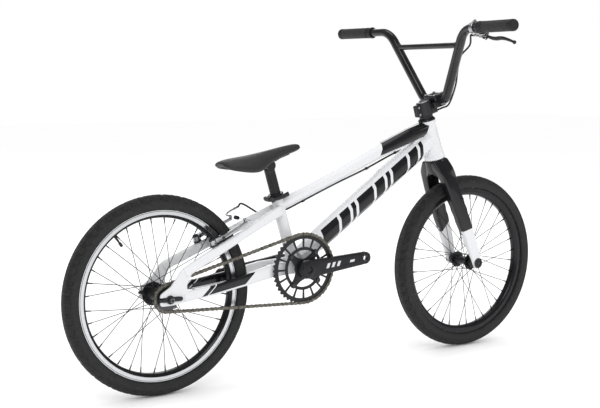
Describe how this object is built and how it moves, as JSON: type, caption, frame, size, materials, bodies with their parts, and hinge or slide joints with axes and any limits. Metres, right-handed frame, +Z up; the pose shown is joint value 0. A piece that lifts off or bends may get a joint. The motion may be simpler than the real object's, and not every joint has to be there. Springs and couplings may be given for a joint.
{
  "type": "bmx bike",
  "caption": "Small-wheeled racing bicycle with a welded white frame, tapered black and white fork, high-rise bars with a crossbar, rear rim brake and a chain drive.",
  "frame": {"origin": "on the ground, midway between the two hubs, in the bike's centre plane", "axes": "+X forward, +Y to the rider's left, +Z up"},
  "size_m": [1.455, 0.7456, 0.9104],
  "materials": {
    "white_paint": "gloss",
    "black_paint": "gloss",
    "fork_composite": "gloss",
    "black_anodised": "satin",
    "silver": "polished",
    "steel": "satin",
    "tyre": "matte",
    "grip_rubber": "matte",
    "pad_rubber": "matte",
    "saddle_plastic": "satin",
    "cable_housing": "satin"
  },
  "bodies": {
    "frame": {"head_tube": "white_paint", "top_tube": "white_paint", "down_tube": "white_paint", "seat_tube": "white_paint", "bottom_bracket_shell": "white_paint", "chainstay_right": "white_paint", "chainstay_left": "white_paint", "seatstay_right": "white_paint", "seatstay_left": "white_paint", "dropout_right": "white_paint", "dropout_left": "white_paint", "headset_bearing_lower": "steel", "headset_bearing_upper": "steel", "bearing_cup_right": "black_anodised", "bearing_cup_left": "black_anodised", "rear_axle": "steel", "axle_nut_right": "black_anodised", "axle_nut_left": "black_anodised", "chain_tensioner_right": "black_anodised", "chain_tensioner_left": "black_anodised", "seat_clamp": "black_anodised", "clamp_skewer": "steel", "chain": "steel", "brake_cable_rear": "cable_housing"},
    "seatpost": {"seatpost": "black_anodised"},
    "saddle": {"saddle": "saddle_plastic"},
    "clamp_lever": {"clamp_lever": "black_anodised"},
    "steering": {"fork": "fork_composite", "front_axle": "black_anodised", "headset_cover": "black_anodised", "stem": "black_anodised", "stem_top_plate": "black_anodised", "top_cap": "silver", "handlebar": "black_paint", "grip_right": "grip_rubber", "grip_left": "grip_rubber", "brake_lever_perch": "silver", "brake_cable_front": "cable_housing"},
    "brake_lever": {"brake_lever_blade": "black_anodised"},
    "brake_arm_right": {"brake_arm_right": "silver", "brake_pad_right": "pad_rubber", "brake_wire": "steel"},
    "brake_arm_left": {"brake_arm_left": "silver", "brake_pad_left": "pad_rubber", "brake_noodle": "silver", "brake_boot": "pad_rubber"},
    "front_wheel": {"front_tyre": "tyre", "front_rim": "black_anodised", "front_spokes": "steel", "front_hub": "black_anodised"},
    "rear_wheel": {"rear_tyre": "tyre", "rear_rim": "black_anodised", "rear_spokes": "steel", "rear_hub": "black_anodised"},
    "driver": {"rear_cog": "black_anodised"},
    "crankset": {"crank_spindle": "steel", "crank_arm_right": "black_anodised", "crank_arm_left": "black_anodised", "chainring": "black_anodised"}
  },
  "joints": [
    {"name": "steering_turn", "type": "hinge", "parent": "frame", "child": "steering", "pos_m": [0.36956, 0, 0.54211], "axis": [-0.2656, 0, 0.9641], "range_deg": [-75, 75]},
    {"name": "front_wheel_spin", "type": "hinge", "parent": "steering", "child": "front_wheel", "pos_m": [0.4828, 0, 0.2447], "axis": [0, 1, 0], "continuous": true},
    {"name": "rear_wheel_spin", "type": "hinge", "parent": "frame", "child": "rear_wheel", "pos_m": [-0.4828, 0, 0.2447], "axis": [0, 1, 0], "continuous": true},
    {"name": "crank_spin", "type": "hinge", "parent": "frame", "child": "crankset", "pos_m": [-0.09595, 0, 0.2815], "axis": [0, 1, 0], "continuous": true},
    {"name": "cog_spin", "type": "hinge", "parent": "frame", "child": "driver", "pos_m": [-0.4828, 0, 0.2447], "axis": [0, 1, 0], "continuous": true},
    {"name": "seatpost_slide", "type": "slide", "parent": "frame", "child": "seatpost", "axis": [-0.279, 0, 0.9603], "range_m": [-0.045, 0.06]},
    {"name": "saddle_tilt", "type": "hinge", "parent": "seatpost", "child": "saddle", "pos_m": [-0.17267, 0, 0.54558], "axis": [0, -1, 0], "range_deg": [-10, 20]},
    {"name": "clamp_lever_open", "type": "hinge", "parent": "frame", "child": "clamp_lever", "pos_m": [-0.17189, -0.0205, 0.45938], "axis": [0.279, 0, -0.9603], "range_deg": [0, 150]},
    {"name": "brake_lever_pull", "type": "hinge", "parent": "steering", "child": "brake_lever", "pos_m": [0.34488, -0.228, 0.87269], "axis": [0.7054, -0.0692, 0.7054], "range_deg": [0, 18], "stiffness_Nm_per_rad": 1.2, "springref_deg": -8.59},
    {"name": "brake_arm_right_swing", "type": "hinge", "parent": "frame", "child": "brake_arm_right", "pos_m": [-0.35691, -0.043, 0.37045], "axis": [-0.389, 0, 0.9212], "range_deg": [0, 2.3]},
    {"name": "brake_arm_left_swing", "type": "hinge", "parent": "frame", "child": "brake_arm_left", "pos_m": [-0.35691, 0.043, 0.37045], "axis": [0.389, 0, -0.9212], "range_deg": [0, 2.3]}
  ],
  "couplings": [
    {"joint": "cog_spin", "follows": "crank_spin", "ratio": 2.75},
    {"joint": "brake_arm_right_swing", "follows": "brake_lever_pull", "ratio": 0.1277},
    {"joint": "brake_arm_left_swing", "follows": "brake_lever_pull", "ratio": 0.1277}
  ]
}
